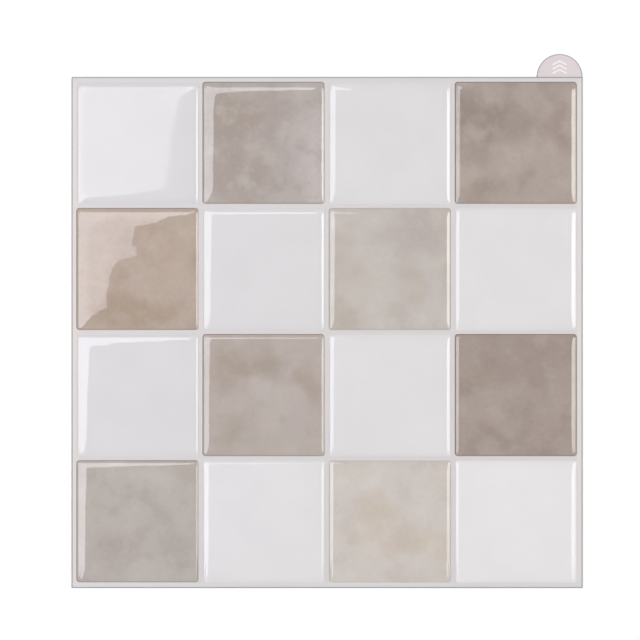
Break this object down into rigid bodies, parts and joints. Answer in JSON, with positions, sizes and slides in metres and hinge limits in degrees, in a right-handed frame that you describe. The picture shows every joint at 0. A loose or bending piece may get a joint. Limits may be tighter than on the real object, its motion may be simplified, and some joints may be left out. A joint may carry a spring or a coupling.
{
  "type": "peel and stick backsplash tile",
  "caption": "Square self-adhesive wall tile sheet: glossy domed gel squares in a checker of white and stone colours on a grout-coloured film, with a release liner and thumb tab.",
  "frame": {"origin": "on the liner's underside, in the middle of the square sheet", "axes": "+Z out of the face, +Y to the edge with the thumb tab, +X to the corner that the tab stands at"},
  "size_m": [0.3048, 0.3185, 0.002],
  "materials": {
    "liner_paper": "satin",
    "film": "satin",
    "white_gel": "gloss",
    "taupe_gel": "gloss",
    "dark_taupe_gel": "gloss",
    "beige_gel": "gloss",
    "greige_gel": "gloss",
    "grey_gel": "gloss",
    "cream_gel": "gloss"
  },
  "bodies": {
    "root": {"release_liner": "liner_paper", "backing_film": "film", "gel_tile_r1_c1": "white_gel", "gel_tile_r1_c2": "taupe_gel", "gel_tile_r1_c3": "white_gel", "gel_tile_r1_c4": "dark_taupe_gel", "gel_tile_r2_c1": "beige_gel", "gel_tile_r2_c2": "white_gel", "gel_tile_r2_c3": "greige_gel", "gel_tile_r2_c4": "white_gel", "gel_tile_r3_c1": "white_gel", "gel_tile_r3_c2": "taupe_gel", "gel_tile_r3_c3": "white_gel", "gel_tile_r3_c4": "dark_taupe_gel", "gel_tile_r4_c1": "grey_gel", "gel_tile_r4_c2": "white_gel", "gel_tile_r4_c3": "cream_gel", "gel_tile_r4_c4": "white_gel"}
  },
  "joints": []
}
